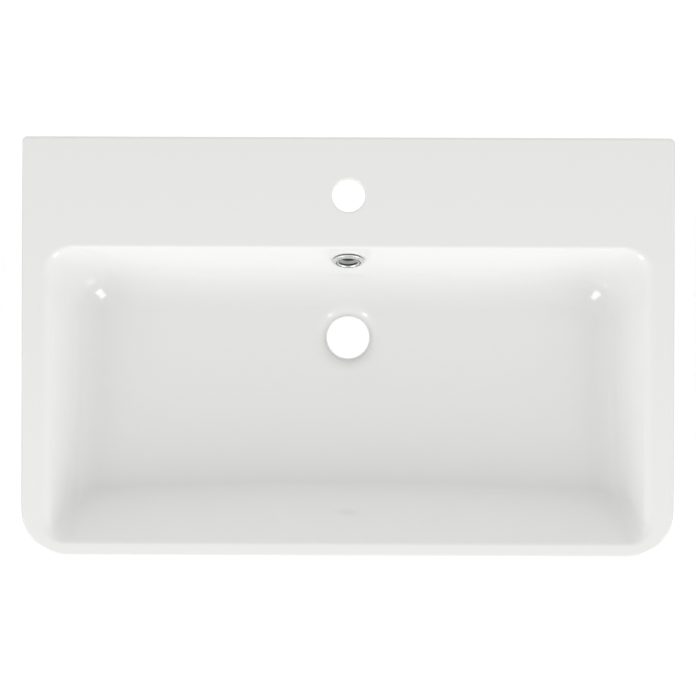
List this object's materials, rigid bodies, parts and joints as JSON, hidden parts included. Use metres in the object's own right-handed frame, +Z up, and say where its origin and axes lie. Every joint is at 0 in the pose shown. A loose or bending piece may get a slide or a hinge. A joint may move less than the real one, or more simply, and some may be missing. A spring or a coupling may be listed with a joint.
{
  "type": "washbasin",
  "caption": "Wall-hung block washbasin with a wide shallow bowl, a flat tap deck, a rolled waste hole and a push-in overflow ring.",
  "frame": {"origin": "middle of the ground foot, below the middle of the rim", "axes": "+X along the wall to the user's right when facing the wall, +Y to the wall, +Z up"},
  "size_m": [0.6998, 0.4499, 0.16],
  "materials": {
    "glazed_white": "glossy white glaze",
    "ring_chrome": "bright chrome",
    "sleeve_plastic": "natural moulded plastic",
    "gasket_rubber": "black rubber"
  },
  "bodies": {
    "basin": {"basin_body": "glazed_white"},
    "overflow_trim": {"overflow_ring": "ring_chrome", "overflow_clip_sleeve": "sleeve_plastic", "overflow_gasket": "gasket_rubber"}
  },
  "joints": [
    {"name": "overflow_trim_pull", "type": "slide", "parent": "basin", "child": "overflow_trim", "axis": [0, -0.9336, 0.3584], "range_m": [0, 0.02]}
  ]
}
